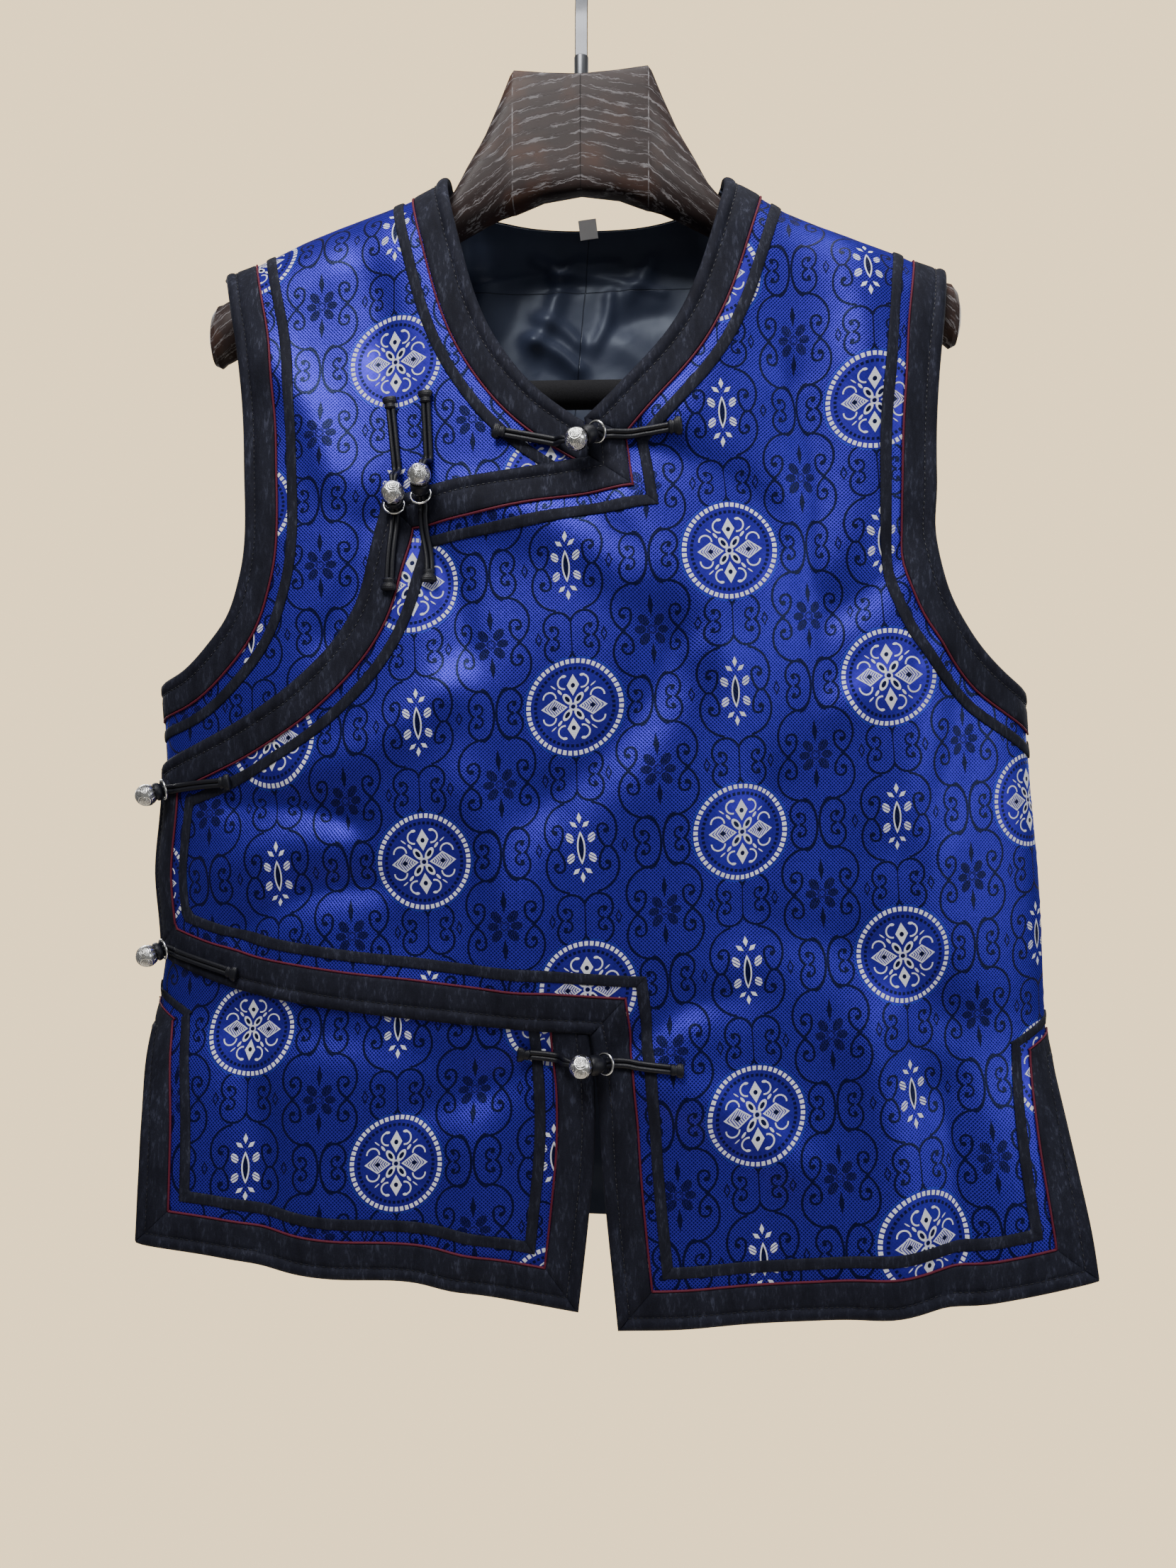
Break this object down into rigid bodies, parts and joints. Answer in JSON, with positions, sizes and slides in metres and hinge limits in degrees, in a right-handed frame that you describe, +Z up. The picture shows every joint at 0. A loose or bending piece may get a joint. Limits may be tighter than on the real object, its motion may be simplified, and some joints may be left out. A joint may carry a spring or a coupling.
{
  "type": "mongolian vest on a wooden hanger",
  "caption": "Sleeveless Mongolian vest with an overlapping front flap, banded edges and ball-and-loop closures, hung on a contoured wooden hanger.",
  "frame": {"origin": "inside top of the hanger's hook, where a rail bears on it", "axes": "+Z up, -Y is the side that the vest's fronts face, +X is the viewer's right"},
  "size_m": [0.58, 0.1393, 0.8695],
  "materials": {
    "brocade": "blue silk brocade with black and white woven figures",
    "suede": "black suede-like trim with a short mottled nap",
    "lining": "black satin",
    "cord": "smooth black satin cord",
    "silver": "bright engraved silver",
    "wood": "dark stained open grain",
    "steel": "satin",
    "flock": "black flock",
    "tab": "plain grey woven tape"
  },
  "bodies": {
    "root": {"outer_front": "brocade", "inner_front": "brocade", "back": "brocade", "back_lining": "lining", "neck_tab": "tab", "border_outer_front": "suede", "border_inner_neck": "suede", "border_inner_lower": "suede", "border_back_neck": "suede", "border_back_lower": "suede", "border_left_armhole_front": "suede", "border_left_armhole_back": "suede", "border_right_armhole_front": "suede", "border_right_armhole_back": "suede", "band_outer_front": "suede", "band_inner_neck": "suede", "band_inner_lower": "suede", "band_back_neck": "suede", "band_back_lower": "suede", "band_left_armhole_front": "suede", "band_left_armhole_back": "suede", "band_right_armhole_front": "suede", "band_right_armhole_back": "suede", "ball_neck": "silver", "ring_neck": "silver", "loop_neck": "cord", "cord_neck": "cord", "ball_chest_left": "silver", "ring_chest_left": "silver", "loop_chest_left": "cord", "cord_chest_left": "cord", "ball_chest_right": "silver", "ring_chest_right": "silver", "loop_chest_right": "cord", "cord_chest_right": "cord", "ball_waist": "silver", "ring_waist": "silver", "loop_waist": "cord", "cord_waist": "cord", "ball_side_upper": "silver", "ring_side_upper": "silver", "loop_side_upper": "cord", "cord_side_upper": "cord", "ball_side_lower": "silver", "ring_side_lower": "silver", "loop_side_lower": "cord", "cord_side_lower": "cord", "hanger_arms": "wood", "hanger_bar": "flock", "bar_post_left": "steel", "bar_post_right": "steel", "ferrule": "steel", "hook": "steel"}
  },
  "joints": []
}
